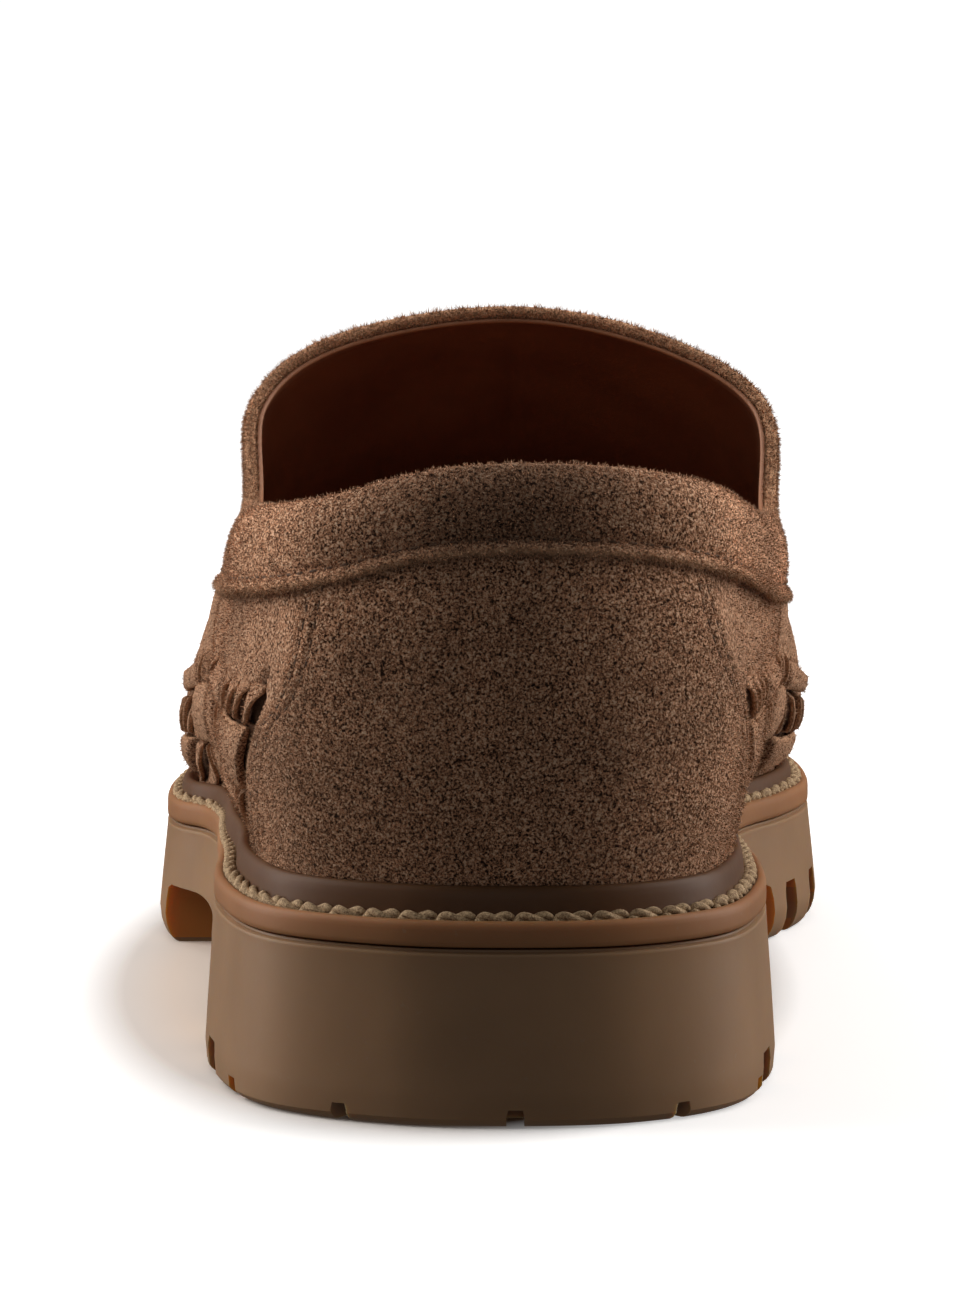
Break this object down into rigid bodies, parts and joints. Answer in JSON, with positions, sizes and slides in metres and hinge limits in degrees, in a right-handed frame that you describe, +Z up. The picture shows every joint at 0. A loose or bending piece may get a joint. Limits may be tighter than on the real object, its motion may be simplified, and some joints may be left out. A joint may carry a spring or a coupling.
{
  "type": "tassel loafer",
  "caption": "Left brown suede slip-on loafer with woven lower sides, a padded collar, vamp tassels, and a chunky lugged gum rubber sole with a stitched storm welt.",
  "frame": {"origin": "centre of the shoe's bounding box in plan, on the floor", "axes": "+Y from heel to toe, +X towards the big toe side of a left shoe, +Z up"},
  "size_m": [0.1164, 0.3012, 0.1122],
  "materials": {
    "suede": "matte brushed nap",
    "counter_suede": "matte brushed nap",
    "lining": "smooth",
    "rubber": "satin",
    "welting": "satin"
  },
  "bodies": {
    "root": {"outsole": "rubber", "welt": "welting", "insole": "lining", "upper": "suede", "heel_counter": "counter_suede", "collar_band": "suede", "tassel_tie": "counter_suede", "tassel_lateral": "suede", "tassel_medial": "suede"}
  },
  "joints": []
}
